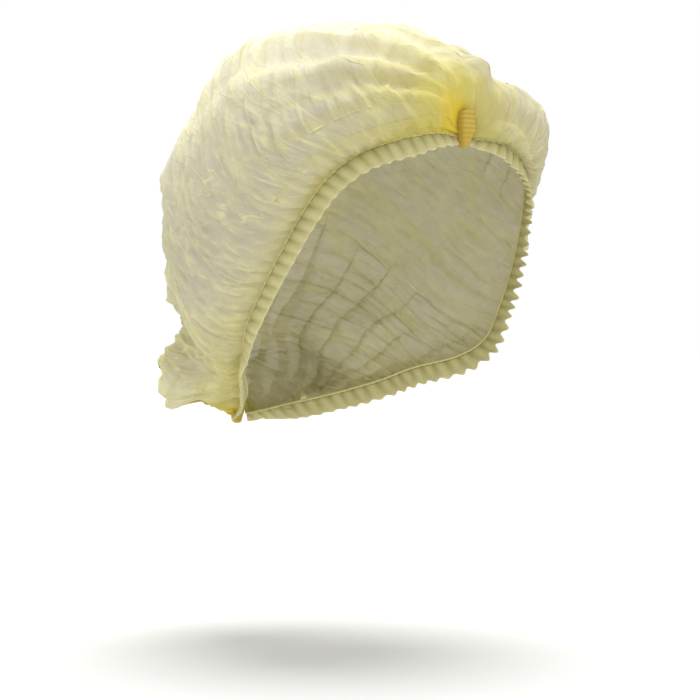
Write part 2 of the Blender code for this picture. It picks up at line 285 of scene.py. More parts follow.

# %% [markdown]
# ## Spunbond nonwoven
#
# The whole cap is spunbond polypropylene: filaments 0.02 mm thick, spun from molten plastic,
# laid down at random and bonded in points.  The eye sees a milky, matte sheet with no weave.
# What changes its colour is how it lies, so the material reads that from the mesh, as values
# between 0 and 1 that each piece stores on its own points:
#
# - layers: how much cloth is packed together there.  The dye of the layers adds up.  In the
#   hems' pinches it holds painted shade as well.
# - crest: on a pressed crease, where filaments stack along a line: lighter and yellower.
# - shade: painted shade on cloth on edge in a gather, which the light hardly reaches: olive.
# - airy: cloth that stands clear of the head, painted paler for the light
#   behind it.
# - turned: cloth that doubles back in a pleat, and so lies face down.
#
# Seen from outside, the sheet's colour is greyed with painted shade, for the dim inside of the cap
# behind it; from inside it is just the cloth.  Very little light is let straight through,
# because overlapping layers would then show as stripes.

# %% Spunbond nonwoven
# painted shade in the gathers: an olive for cloth on edge, which the light hardly reaches
GATHER_SHADE = "#8f8a4e"            # the olive of cloth on edge, in the gathers at a hem
FIBRE_SCALE = 110.0             # a 0.9 mm mottle: the real filaments are too fine to show
CLOUD_SCALE = 14.0              # a 7 mm cloudiness, from the uneven lay of the filaments
CREASE_DEPTH = 0.0006           # metres, the height that a fine crease is shaded as


def nonwoven(name, panel, crease, packed, weld, clear, creased=True, inside=None):
    """A finish of the nonwoven: its colour as a flat panel, on a crease, packed and welded,
    how much it lets straight through, and its colour from inside if that differs."""
    material, tree = new_material(name)
    place = add(tree, "UVMap", uv_map="cloth")
    layers, crest, shade = [add(tree, "Attribute", attribute_name=field, output="Fac")
                            for field in ("layers", "crest", "shade")]
    clouds = add(tree, "TexNoise", place, noise_dimensions="2D", Scale=CLOUD_SCALE, Detail=3.0,
                 Roughness=0.6)
    fibre = add(tree, "TexNoise", place, noise_dimensions="2D", Scale=FIBRE_SCALE, Detail=2.0,
                Roughness=0.7)
    lines, swell = add(tree, "Math", fibre, 0.2, operation="MULTIPLY"), fibre
    if creased:
        lines, swell = drawn_creases(tree, place)
    line = add(tree, "Math", add(tree, "Math", lines, 0.85, operation="MULTIPLY"), crest,
               operation="MAXIMUM", use_clamp=True)
    # coats of colour over the panel: creases, packed cloth, weld, and painted shade in the gathers
    coats = [(line, crease), (add(tree, "MapRange", layers, 0.05, 0.55), packed),
             (add(tree, "MapRange", layers, 0.6, 1.0), weld), (shade, GATHER_SHADE)]
    if inside:
        # the inside colour, without the panel's painted shade: on the inner face and as painted
        # backlight
        coats.insert(0, (pale_share(tree), inside))
    colour = panel
    for amount, coat in coats:
        colour = add(tree, "Mix", amount, data_type="RGBA", socket_6=colour, socket_7=coat,
                     output=2)
    mottle = add(tree, "Math", add(tree, "MapRange", clouds, 0.3, 0.7, 0.95, 1.04),
                 add(tree, "MapRange", fibre, 0.3, 0.7, 0.97, 1.03), operation="MULTIPLY")
    colour = add(tree, "VectorMath", colour, operation="SCALE", Scale=mottle)
    hollow = add(tree, "Math", swell, -0.7, operation="MULTIPLY")
    height = add(tree, "Math", add(tree, "Math", lines, hollow, operation="ADD"),
                 add(tree, "Math", fibre, 0.12, operation="MULTIPLY"), operation="ADD")
    bump = add(tree, "Bump", Strength=0.5, Distance=CREASE_DEPTH, Height=height)
    off_line = add(tree, "Math", 1.0, add(tree, "Math", line, 0.8, operation="MULTIPLY"),
                   operation="SUBTRACT")
    opening = add(tree, "Math", add(tree, "MapRange", layers, 0.0, 0.6, clear, 0.0), off_line,
                  operation="MULTIPLY")
    thin_body(tree, colour, bump, opening)
    return material


print("mottle of %.1f mm, clouds of %.0f mm" % (UV_MM / FIBRE_SCALE, UV_MM / CLOUD_SCALE))

# %% [markdown]
# ## Four finishes of the one fabric
#
# The crown is a single loose layer: pale, greyish with painted shade between its creases, and
# golden where it is packed by the welds.  The hem is folded over and sealed by heat, so two or
# more layers make it flatter and more olive.  Round the elastic the same hem is bunched tight,
# and its folds are too small to crease.  In the ribbed tabs at the ends all the pleats are
# pressed and melted together by ultrasound, into a stiff golden plastic.

# %% Four finishes of the one fabric
# the crown's outer colour #b8b29c is greyed with painted shade; #e9e5cd inside is the cloth's own
crown_fabric = nonwoven("spunbond_polypropylene", "#b8b29c", "#d9d5a3", "#cbbf6c", "#dcc23c", 0.01,
                        inside="#e9e5cd")
hem_fabric = nonwoven("folded_spunbond_hem", "#ccc48f", "#d8d2a2", "#aba265", "#b8a850", 0.04,
                      creased=False)
elastic_wrap = nonwoven("gathered_spunbond_over_elastic", "#ccc48a", "#ccc48c", "#beb674",
                        "#a39a5a", 0.0, creased=False)
weld_fabric = nonwoven("ultrasonic_welded_polypropylene", "#cfb75c", "#d4bf6a", "#bb9d42",
                       "#ab8c36", 0.0, creased=False)
print("finishes:", sorted(material.name for material in bpy.data.materials))

# %% [markdown]
# ## The worn form
#
# Opened on a head, the folded strip becomes a bag between two welds.  It is lofted through
# sections from the front weld over the head to the rear weld, each given by where it leaves
# the hem, where it is widest, and where it crosses the ridge.  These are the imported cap's own
# sections, in millimetres, so that the fine mesh lies on its shape.
# A place on the cap is given by two numbers: along, from 0 at the front weld to 1 at the rear,
# and across, from -1 at the right hem over 0 at the ridge to 1 at the left hem.

# %% Sections of the worn form
Section = namedtuple("Section", "hem_x hem_y hem_z side_x side_y side_z top_y top_z")
SECTIONS = [
    Section(5.0, -87.0, -58.0, 6.4, -87.5, -53.0, -88.0, -43.2),
    Section(13.0, -89.5, -57.0, 16.0, -92.5, -46.0, -92.0, -33.0),
    Section(24.0, -88.0, -58.0, 28.0, -91.0, -44.5, -86.5, -22.5),
    Section(37.0, -81.5, -61.5, 42.0, -85.5, -46.5, -74.0, -13.5),
    Section(50.0, -71.5, -67.5, 56.0, -74.5, -51.5, -55.0, -4.5),
    Section(59.5, -60.5, -78.0, 68.5, -58.5, -58.5, -33.0, 1.5),
    Section(66.0, -50.0, -93.5, 78.0, -40.0, -67.0, -8.0, 5.5),
    Section(70.5, -39.5, -111.0, 83.5, -18.0, -78.0, 19.0, 4.0),
    Section(73.5, -28.5, -128.5, 86.0, 5.0, -90.0, 45.0, -6.0),
    Section(74.5, -17.0, -146.0, 83.5, 26.0, -105.0, 68.0, -23.0),
    Section(67.0, -5.0, -156.0, 76.5, 43.0, -121.0, 87.5, -51.0),
    Section(54.0, 14.0, -163.0, 62.5, 52.0, -138.0, 98.5, -88.0),
    Section(42.0, 28.0, -171.0, 48.0, 60.0, -152.0, 100.0, -124.0),
    Section(27.0, 46.0, -179.0, 45.0, 87.0, -167.0, 94.0, -149.0),
    Section(15.0, 65.0, -185.0, 36.0, 96.0, -182.0, 105.0, -160.0),
    Section(8.0, 77.0, -189.0, 16.0, 97.0, -188.0, 105.0, -171.0),
    Section(5.0, 85.5, -191.5, 6.4, 87.5, -187.0, 88.0, -176.2),
]
SIDE_AT = 0.70                  # across, where a section is widest
TUCK = 0.8                      # how far a section turns in to the head at its hem
LEFT_SHIFT = np.array([5.0, -5.0, -5.0])        # the left side is fuller and hangs lower
LEFT_SHIFT_LEAN = 0.7           # under 1, the shift is greatest towards the front
print("sections:", len(SECTIONS))

# %% [markdown]
# ## Main folds and puffs
#
# From both welds, stiff folds fan out over the crown and die away, and between them the cloth
# puffs up or sinks in.  Each fold is a long low wave at one place across; each puff is a round
# one.  They are few and large, so each has a line of its own here: its place and half widths,
# along and across, and its rise in millimetres.

# %% Main folds and puffs
Fold = namedtuple("Fold", "across start end rise half_width")
FOLDS = [
    Fold(-0.83, 0.02, 0.30, 2.0, 0.05),
    Fold(-0.66, 0.02, 0.40, 2.5, 0.06),
    Fold(-0.57, 0.03, 0.34, -2.0, 0.05),
    Fold(-0.47, 0.03, 0.55, 2.5, 0.05),
    Fold(-0.39, 0.03, 0.62, -4.0, 0.05),
    Fold(-0.28, 0.02, 0.66, 3.5, 0.06),
    Fold(-0.14, 0.02, 0.34, -2.5, 0.05),
    Fold(-0.02, 0.02, 0.38, 2.0, 0.05),
    Fold(0.10, 0.02, 0.30, -3.0, 0.05),
    Fold(0.22, 0.02, 0.40, 2.0, 0.06),
    Fold(0.38, 0.02, 0.42, -3.5, 0.06),
    Fold(0.62, 0.02, 0.50, 2.5, 0.08),
    Fold(-0.76, 0.78, 0.99, 3.0, 0.05),
    Fold(-0.36, 0.66, 0.98, 3.0, 0.08),
    Fold(-0.16, 0.74, 0.98, -3.0, 0.06),
    Fold(0.02, 0.70, 0.98, 3.0, 0.06),
    Fold(0.18, 0.74, 0.98, -3.0, 0.06),
    Fold(0.36, 0.66, 0.98, 3.0, 0.08),
    Fold(0.76, 0.78, 0.99, 3.0, 0.05),
]
FOLD_LEAN = 0.6                 # under 1, a fold is highest towards its front end

Puff = namedtuple("Puff", "along across rise half_along half_across")
PUFFS = [
    Puff(0.17, 0.60, 6.5, 0.07, 0.22),
    Puff(0.12, 0.28, -3.0, 0.04, 0.10),
    Puff(0.17, -0.60, 2.5, 0.07, 0.20),
    Puff(0.60, -0.52, -3.5, 0.02, 0.12),
    Puff(0.47, 0.50, -3.0, 0.03, 0.16),
    Puff(0.62, -0.25, -2.5, 0.03, 0.20),
    Puff(0.66, 0.30, -3.0, 0.03, 0.18),
    Puff(0.80, -0.55, -3.5, 0.02, 0.20),
    Puff(0.80, 0.55, -3.5, 0.02, 0.20),
    Puff(0.85, -0.58, 4.5, 0.02, 0.16),
    Puff(0.85, 0.58, 4.5, 0.02, 0.16),
    Puff(0.91, -0.74, 4.0, 0.02, 0.05),
    Puff(0.93, -0.82, -7.0, 0.025, 0.05),
    Puff(0.93, 0.82, -5.0, 0.025, 0.05),
]
print("folds:", len(FOLDS), "puffs:", len(PUFFS))

# %% [markdown]
# ## How high the folds stand
#
# A cosine bell shapes both, because it runs out to nothing without an edge.

# %% How high the folds stand


def bell(distance):
    """A smooth bump: 1 at the middle, 0 from a distance of 2."""
    return np.where(np.abs(distance) < 2.0, 0.5 + 0.5 * np.cos(distance * math.pi / 2), 0.0)


def puffed(puff, along, across):
    """Height of one puff, in millimetres."""
    return (puff.rise * bell((along - puff.along) / puff.half_along)
            * bell((across - puff.across) / puff.half_across))


def relief(along, across):
    """Height of the folds and puffs over the plain form, in millimetres."""
    height = np.zeros_like(along)
    for fold in FOLDS:
        reach = np.clip((along - fold.start) / (fold.end - fold.start), 0.0, 1.0)
        swell = np.sin(math.pi * reach ** FOLD_LEAN) ** 2
        height += fold.rise * swell * bell((across - fold.across) / fold.half_width)
    for puff in PUFFS:
        height += puffed(puff, along, across)
    return height


print("relief down the ridge, mm:", relief(np.linspace(0.1, 0.9, 5), np.zeros(5)).round(1))

# %% [markdown]
# ## Curves through the sections
#
# A cubic joins each section to the next, and heads at each one from the section before it
# towards the section after, so the form flows through all of them without a kink.  Sections
# stand unevenly along the strip, so each one's place is worked out from its distance to the
# one before.

# %% Curves through the sections


def unit(vectors):
    """Scale vectors to length 1."""
    return vectors / np.linalg.norm(vectors, axis=-1, keepdims=True)


def curve_between(start, leave, end, arrive, part):
    """A cubic from start to end, with the given directions at its ends."""
    square = part * part
    cube = square * part
    return ((2 * cube - 3 * square + 1) * start + (cube - 2 * square + part) * leave
            + (3 * square - 2 * cube) * end + (cube - square) * arrive)


def through(rows, at):
    """Read a smooth curve through equally spaced rows at the row numbers in at."""
    rows = np.asarray(rows, float)
    last = len(rows) - 1
    index = np.clip(np.floor(at).astype(int), 0, last - 1)
    part = (at - index)[..., None]
    before = rows[np.maximum(index - 1, 0)]
    start = rows[index]
    end = rows[index + 1]
    after = rows[np.minimum(index + 2, last)]
    return curve_between(start, 0.5 * (end - before), end, 0.5 * (after - start), part)


def row_places():
    """How far along the strip each section lies, from 0 to 1, by mean length."""
    steps = np.diff(np.array(SECTIONS), axis=0)
    hem = np.linalg.norm(steps[:, 0:3], axis=1)
    side = np.linalg.norm(steps[:, 3:6], axis=1)
    top = np.linalg.norm(steps[:, 6:8], axis=1)
    places = np.concatenate([[0.0], np.cumsum(hem + side + top)])
    return places / places[-1]


def rows_turned_in():
    """The sections with two more columns: the level direction from the hem in to the head."""
    table = np.array(SECTIONS)
    run_x, run_y = np.gradient(table[:, 0:2], axis=0).T
    return np.column_stack([table, unit(np.stack([-run_y, run_x], axis=-1))])


ROW_PLACES = row_places()
ROWS = rows_turned_in()
print("sections lie at", ROW_PLACES.round(2))

# %% [markdown]
# ## Lofting the form
#
# Across each section a quarter of an ellipse joins the ridge to the side, and a second curve
# leads from there down and in to the hem.  The folds and puffs are then raised along the
# form's own normal.

# %% Lofting the form


def plain_form(along, across):
    """The crown without folds, in millimetres."""
    rows = through(ROWS, np.interp(along, ROW_PLACES, np.arange(len(ROWS))))
    (hem_x, hem_y, hem_z, side_x, side_y, side_z, top_y, top_z,
     in_x, in_y) = np.moveaxis(rows, -1, 0)
    away = np.abs(across)
    turn = np.minimum(away / SIDE_AT, 1.0)[..., None] * math.pi / 2
    low = np.clip((away - SIDE_AT) / (1.0 - SIDE_AT), 0.0, 1.0)[..., None]
    level = np.zeros_like(hem_x)
    centre = np.stack([level, side_y, side_z], axis=-1)
    side = np.stack([side_x, side_y, side_z], axis=-1)
    top = np.stack([level, top_y, top_z], axis=-1)
    hem = np.stack([hem_x, hem_y, hem_z], axis=-1)
    inward = np.stack([in_x, in_y, level], axis=-1)
    drop = np.linalg.norm(hem - side, axis=-1, keepdims=True)
    leave = unit(centre - top) * drop
    arrive = unit(TUCK * inward + (1.0 - TUCK) * (hem - side) / drop) * drop
    points = (centre + (side - centre) * np.sin(turn) + (top - centre) * np.cos(turn)
              + curve_between(side, leave, hem, arrive, low) - side)
    points[..., 0] *= np.sign(across)
    left = np.clip(across, 0.0, 1.0) * np.sin(math.pi * along ** LEFT_SHIFT_LEAN)
    return points + left[..., None] * LEFT_SHIFT


NORMAL_STEP = 0.002


def folded_form(along, across):
    """The crown's form with its main folds and puffs, in millimetres."""
    ahead = plain_form(np.minimum(along + NORMAL_STEP, 1.0), across)
    behind = plain_form(np.maximum(along - NORMAL_STEP, 0.0), across)
    left = plain_form(along, np.minimum(across + NORMAL_STEP, 1.0))
    right_hand = plain_form(along, np.maximum(across - NORMAL_STEP, -1.0))
    normal = unit(np.cross(left - right_hand, ahead - behind))
    return plain_form(along, across) + normal * relief(along, across)[..., None]


print("middle of the ridge, mm:", folded_form(np.array([0.5]), np.zeros(1))[0].round(1))

# %% [markdown]
# ## Measuring the form
#
# A fine grid over the form tells how long the cloth's path is along every line of it.  The
# widest path from hem to hem is the least width that the flat sheet can have had, so it is
# taken as that width.  The grid's lines lean back towards the ridge, as the gathers do.

# %% Measuring the form
ALONG_CELLS = 600
ACROSS_CELLS = 165              # of the sheet
FORM_CELLS = 360                # across the worn form, for the creases
CROWDING = 0.10                 # how much closer the lines lie at the hems
GATHER_LEAN = 0.11              # how far the gathers run back on their way up to the ridge


def crowd(steps):
    """Crowd evenly spaced grid lines, from -1 to 1, towards the two hems."""
    return steps * (1.0 + CROWDING - CROWDING * steps * steps)


def leaning(along, across):
    """Shift a place along the strip so that the grid's lines follow the gathers."""
    return along + GATHER_LEAN * np.sin(math.pi * along) * (1.0 - across ** 2)


def worn_form(along, across):
    """The folded form at places on the leaning grid."""
    return folded_form(leaning(along, across), across)


rng = np.random.default_rng(21)
along_lines = np.linspace(0.0, 1.0, ALONG_CELLS + 1)
form_lines = crowd(np.linspace(-1.0, 1.0, FORM_CELLS + 1))
along, across = np.meshgrid(along_lines, form_lines, indexing="ij")
spread = worn_form(along, across)
step_along = np.linalg.norm(np.diff(spread, axis=0), axis=2)
step_across = np.linalg.norm(np.diff(spread, axis=1), axis=2)
path = np.concatenate([np.zeros((ALONG_CELLS + 1, 1)), np.cumsum(step_across, axis=1)], axis=1)
path_width = path[:, -1]
flat_width = path_width.max()   # the widest path over the crown, hem to hem
ridge_path = step_along[:, FORM_CELLS // 2].sum()
print("ridge path %.0f mm, hem path %.0f mm, widest across %.0f mm" % (
    ridge_path, step_along[:, 0].sum(), flat_width))

# %% [markdown]
# ## Tools for creases
#
# Once the cap is on, all layers at one place crease together.  So the creases are drawn on the
# worn form, as heights in millimetres over it, and every layer that lies there takes them.
# Places are measured over the cloth: run along the ridge, arc across from it.  The first tool
# smooths seeded noise into soft lumps.

# %% Tools for creases
NOISE_CUT = 5.0                 # how steeply smooth_noise drops the small waves
arc = path - 0.5 * path_width[:, None]
run = along * ridge_path
# how long a step along the form is at each place, against the mean step on the ridge
run_scale = np.gradient(np.concatenate([np.zeros((1, FORM_CELLS + 1)),
                                        np.cumsum(step_along, axis=0)]), axis=0)
run_scale *= ALONG_CELLS / ridge_path


def smooth_noise(shape, size):
    """Seeded noise smoothed to about size cells each way, with unit spread."""
    waves = np.fft.rfft2(rng.standard_normal(shape))
    high = np.fft.fftfreq(shape[0])[:, None] * size[0]
    wide = np.fft.rfftfreq(shape[1])[None, :] * size[1]
    noise = np.fft.irfft2(waves * np.exp(-NOISE_CUT * (high ** 2 + wide ** 2)), s=shape)
    return noise / noise.std()


def arc_at(along_part, across_part):
    """Arc of a place given along and across."""
    row = int(round(np.clip(along_part, 0, 1) * ALONG_CELLS))
    return np.interp(across_part, form_lines, arc[row])


print("from ridge to left hem at mid length: %.0f mm" % arc_at(0.5, 1.0))

# %% [markdown]
# ## Pressing one crease
#
# The second tool presses a single crease along a wandering line, as a finger would: sharp on
# top, and running out at its end.  Only the grid's window round the line is worked on, because
# hundreds of creases over the whole grid would take minutes.

# %% Pressing one crease
CREASE_STEP = 4.0               # millimetres between the bends of a crease
CREASE_SHARPNESS = 1.1          # a power: 2 would round the crease's top


def crease_path(start, heading, length, wander):
    """A wandering line over the cloth: run and arc, in millimetres, every few millimetres."""
    count = max(3, int(length / CREASE_STEP))
    turns = np.cumsum(rng.normal(0.0, wander, count))
    angles = heading + turns
    steps = np.stack([np.cos(angles), np.sin(angles)], axis=-1) * length / count
    return np.concatenate([[start], start + np.cumsum(steps, axis=0)])


def press(height, path, rise, width, fade_in):
    """Press one crease into the height field, up or down, in the window that it can reach."""
    margin = 4.0 * width
    low_run, low_arc = path.min(axis=0) - margin
    high_run, high_arc = path.max(axis=0) + margin
    first = int(np.clip(low_run / ridge_path * ALONG_CELLS, 0, ALONG_CELLS - 1))
    last = int(np.clip(high_run / ridge_path * ALONG_CELLS + 2, first + 1, ALONG_CELLS + 1))
    inside = (arc[first:last] > low_arc) & (arc[first:last] < high_arc)
    columns = np.flatnonzero(inside.any(axis=0))
    if len(columns) == 0:
        return
    window = (slice(first, last), slice(columns[0], columns[-1] + 1))
    x = run[window]
    y = arc[window]
    scale = run_scale[window]
    nearest = np.full(x.shape, np.inf)
    place = np.zeros(x.shape)
    for number in range(len(path) - 1):
        (x0, y0), (x1, y1) = path[number], path[number + 1]
        dx, dy = (x1 - x0) * scale, y1 - y0
        px, py = (x - x0) * scale, y - y0
        part = np.clip((px * dx + py * dy) / (dx * dx + dy * dy + 1e-9), 0.0, 1.0)
        distance = np.hypot(px - part * dx, py - part * dy)
        closer = distance < nearest
        nearest = np.where(closer, distance, nearest)
        place = np.where(closer, (number + part) / (len(path) - 1), place)
    taper = np.clip(place / fade_in, 0.0, 1.0) * (1.0 - place) ** 0.7
    value = rise * taper * np.exp(-(nearest / width) ** CREASE_SHARPNESS)
    if rise > 0:
        height[window] = np.maximum(height[window], value)
    else:
        height[window] = np.minimum(height[window], value)


print("a crease bends every", CREASE_STEP, "mm")

# %% [markdown]
# ## Pressed creases
#
# Each lobe of a gathered hem sends one crease up into the crown, and the crown's own field is
# full of short ones, most of them raised and some sunk.  They run across the strip, since the
# two elastics draw it together lengthwise.

# %% Pressed creases
HEM_LOBES = 46
FIELD_CREASES = 900
RAISED_SHARE = 0.62             # of the field's creases; the rest are sunk
ACROSS_STRIP = math.pi / 2      # heading straight across, from the run towards the arc

ridges = np.zeros_like(along)
valleys = np.zeros_like(along)
for side in (-1.0, 1.0):
    for lobe in range(HEM_LOBES):
        at = min((lobe + 0.5 + rng.normal(0.0, 0.12)) / HEM_LOBES, 0.995)
        start = np.array([at * ridge_path, arc_at(at, side * 0.97)])
        heading = -side * ACROSS_STRIP + side * rng.normal(0.10, 0.20)
        length = min(12.0 + rng.gamma(1.7, 20.0), 110.0)
        press(ridges, crease_path(start, heading, length, 0.10),
              rng.uniform(1.0, 1.7), rng.uniform(0.8, 1.3), 0.1)
for _ in range(FIELD_CREASES):
    at = 0.08 + 0.88 * rng.uniform() ** 0.75
    start = np.array([at * ridge_path, arc_at(at, rng.uniform(-0.95, 0.95))])
    heading = ACROSS_STRIP * rng.choice([-1.0, 1.0]) + rng.normal(0.0, 0.30)
    length = min(8.0 + rng.gamma(1.6, 11.0), 60.0)
    if rng.random() < RAISED_SHARE:
        press(ridges, crease_path(start, heading, length, 0.16), rng.uniform(0.7, 1.9),
              rng.uniform(0.7, 1.2), 0.3)
    else:
        press(valleys, crease_path(start, heading, length, 0.16), -rng.uniform(0.5, 1.5),
              rng.uniform(0.9, 1.6), 0.3)
print("pressed: highest %.2f mm, deepest %.2f mm" % (ridges.max(), valleys.min()))

# %% [markdown]
# ## Gathers along the hems
#
# The elastic holds the hem shorter than its cloth, so each lobe stands up as a gather that dies
# out on its way in.  In the tail, behind the neck, the gathers are lower and reach further.

# %% Gathers along the hems
from_hem = 0.5 * path_width[:, None] * (1.0 - np.abs(across))
hem_phase = HEM_LOBES * along + 0.25 * smooth_noise(along.shape, (36.0, 130.0))
gather_reach = 5.0 + 9.0 * np.clip(1.0 + 0.7 * smooth_noise(along.shape, (14.0, 400.0)), 0.1, 3.0)
tail = np.clip((along - 0.78) / 0.08, 0.0, 1.0)
gathers = (np.abs(np.sin(math.pi * hem_phase)) ** 0.8 - 0.55) * (1.7 - 0.6 * tail)
gathers *= np.exp(-(from_hem / (gather_reach + 10.0 * tail)) ** 1.4)
gathers *= np.clip(from_hem / 2.5, 0.25, 1.0)
gathers *= np.clip(np.minimum(along, 1.0 - along) / 0.05, 0.0, 1.0)
print("gathers: highest %.2f mm" % gathers.max())

# %% [markdown]
# ## Crumple, and where the cloth stands clear
#
# Everywhere else the crown is crumpled: soft lumps of three sizes, and fine ridges that follow
# the gathers.  At the top and in the tail the cloth stands clear of the head, and there it is
# painted paler, as painted light for the light that comes through it from behind.  At the top
# it is smoother as well.

# %% Crumple
LUMPS = ((1.3, (48.0, 40.0)), (0.6, (20.0, 30.0)))          # height in mm, size in cells
RIDGES = ((1.7, (15.0, 42.0)), (1.0, (9.0, 26.0)))
SMALL_LUMPS = (0.38, (5.0, 9.0))

lumps = sum(height * smooth_noise(along.shape, cells) for height, cells in LUMPS)
crumple = np.zeros_like(along)
for height, cells in RIDGES:
    patch = np.clip(0.6 + 0.5 * smooth_noise(along.shape, (70.0, 60.0)), 0.05, 1.3)
    near_zero = np.clip(1.0 - np.abs(smooth_noise(along.shape, cells)) / 0.9, 0.0, 1.0)
    crumple += height * patch * near_zero ** 1.7
lumps += SMALL_LUMPS[0] * smooth_noise(along.shape, SMALL_LUMPS[1])
on_top = np.clip((0.72 - along) / 0.25, 0.0, 1.0)
calm = 1.0 - 0.6 * on_top * np.exp(-(across / 0.30) ** 2)
# painted backlight: paler cloth at the top and in the tail, where it stands clear of the head
airy = np.maximum(on_top * np.exp(-((across + 0.22) / 0.24) ** 2),
                  0.9 * np.clip((along - 0.80) / 0.06, 0.0, 1.0))
print("crumple: highest %.2f mm" % crumple.max())

# %% [markdown]
# ## All the relief together
#
# The parts are added up, and fade where they have no room: creases at the hem and the welds,
# and wherever the strip is still closed.  A few forms belong to this one cap as it sits: dents
# and bumps at the back, the hollow and ragged edge under the tail, a tuft beside the weld.

# %% All the relief together
OWN_FORMS = [
    Puff(0.495, -0.57, -2.2, 0.035, 0.06),      # a dent at the back
    Puff(0.675, -0.43, 2.5, 0.035, 0.12),       # a bump low at the back
    Puff(0.938, -0.76, -8.0, 0.030, 0.10),      # the hollow under the tail
    Puff(0.062, 0.20, 2.5, 0.022, 0.06),        # a tuft by the front weld
]
RAGGED = (1.1, (6.0, 10.0))     # the tail's edge: height in mm, size in cells

to_hem = np.clip((1.0 - np.abs(across)) / 0.05, 0.0, 1.0) ** 0.8
to_weld = np.clip(np.minimum(along, 1.0 - along) / 0.10, 0.0, 1.0) ** 0.8
openness = np.clip((path_width / flat_width - 0.2) / 0.4, 0.15, 1.0)[:, None]
heights = (ridges * (0.25 + 0.75 * to_hem) + valleys * to_hem) * openness * calm + gathers
heights += (lumps + (crumple - 0.8) * calm) * to_hem * to_weld
heights += RAGGED[0] * tail * to_weld * smooth_noise(along.shape, RAGGED[1])
for form in OWN_FORMS:
    heights += puffed(form, along, across)
crests = np.clip(0.55 * ridges + 0.28 * crumple + 0.35 * np.clip(gathers, 0.0, None), 0.0, 1.0)
print("creases: highest %.2f mm, deepest %.2f mm" % (heights.max(), heights.min()))

# %% [markdown]
# ## The pleats
#
# The cap is made as a stack: the sheet is folded to and fro into a strip and the strip's ends
# are welded.  Where the worn cap is narrower than the sheet, the cloth that is left over lies
# in knife pleats.  In each one the cloth runs forward, doubles back, and runs on, so that three
# layers overlap.  Where a pleat has only a little cloth to take up, it first lets its grid
# lines slide closer, which stands for puckers too fine to draw, and the fold grows after that.
# From there on the cloth's own width is kept: deep pleats hold it all.
#
# The sheet's length can't be measured on a worn cap.  It is taken as that of a 19 inch cap.

# %% The pleats
FLAT_LENGTH = 480.0             # a 19 inch cap, laid flat and drawn out
PLEATS = 18
WALK_STRETCHES = 8              # from weld to weld, in a slow walk


def slow_walk(count, low, high):
    """A slowly changing random value for each pleat, from weld to weld."""
    return through(rng.uniform(low, high, (WALK_STRETCHES + 1, count)),
                   along_lines * WALK_STRETCHES)


def ease(value):
    """Ease from 0 to 1."""
    value = np.clip(value, 0.0, 1.0)
    return value * value * (3.0 - 2.0 * value)


def cells_of_pleats():
    """How many grid cells wide each pleat is: a whole number, so that folds follow grid lines."""
    cells_in = np.full(PLEATS, ACROSS_CELLS // PLEATS)
    cells_in += rng.permutation(np.arange(PLEATS) % 5 - 2)
    cells_in[rng.permutation(PLEATS)[:abs(ACROSS_CELLS - cells_in.sum())]] += int(
        np.sign(ACROSS_CELLS - cells_in.sum()))
    return cells_in


def share_out(spare, share, limit):
    """Share spare cloth over the pleats; what is too much for one goes to those with room."""
    taken = spare * share / share.sum()
    for _ in range(6):
        excess = np.clip(taken - limit, 0.0, None).sum()
        taken = np.minimum(taken, limit)
        taken += excess * (limit - taken) / max((limit - taken).sum(), 1e-9)
    return taken


print("pleats of %.1f mm of cloth, in %.1f grid cells" % (
    flat_width / PLEATS, ACROSS_CELLS / PLEATS))

# %% [markdown]
# ## Laying the pleats
#
# Row by row, from weld to weld, the grid points of the flat sheet are laid across the form.
# The cloth runs forward to its pleat's fold, back under it, and on from there, and each layer
# is lifted a little over the one below.  The same row also tells where three layers overlap
# and where the cloth lies face down, which the material shows.

# %% Laying the pleats
DEEPEST = 0.93                  # of a pleat's cloth, the most that it can take up
FOLD_AT = 0.65                  # of a pleat's grid cells, where its fold lies
SLIDE = 1.4                     # cloth to take up before a pleat starts to double back
UNDER_CELLS = 2                 # of a pleat's grid cells, under the fold before it
PLEAT_LIFT = 0.06               # how fast a pleat climbs over the one before it
EDGE_LIFT = 0.05                # a folded edge lies almost shut on the layer below
SAG = 0.28                      # millimetres that the middle layer under a fold hangs down
FULL_HANG = 2.5                 # millimetres under a fold from which a layer hangs fully
LOWEST_HANG = 2.5               # times as low as the middle layer


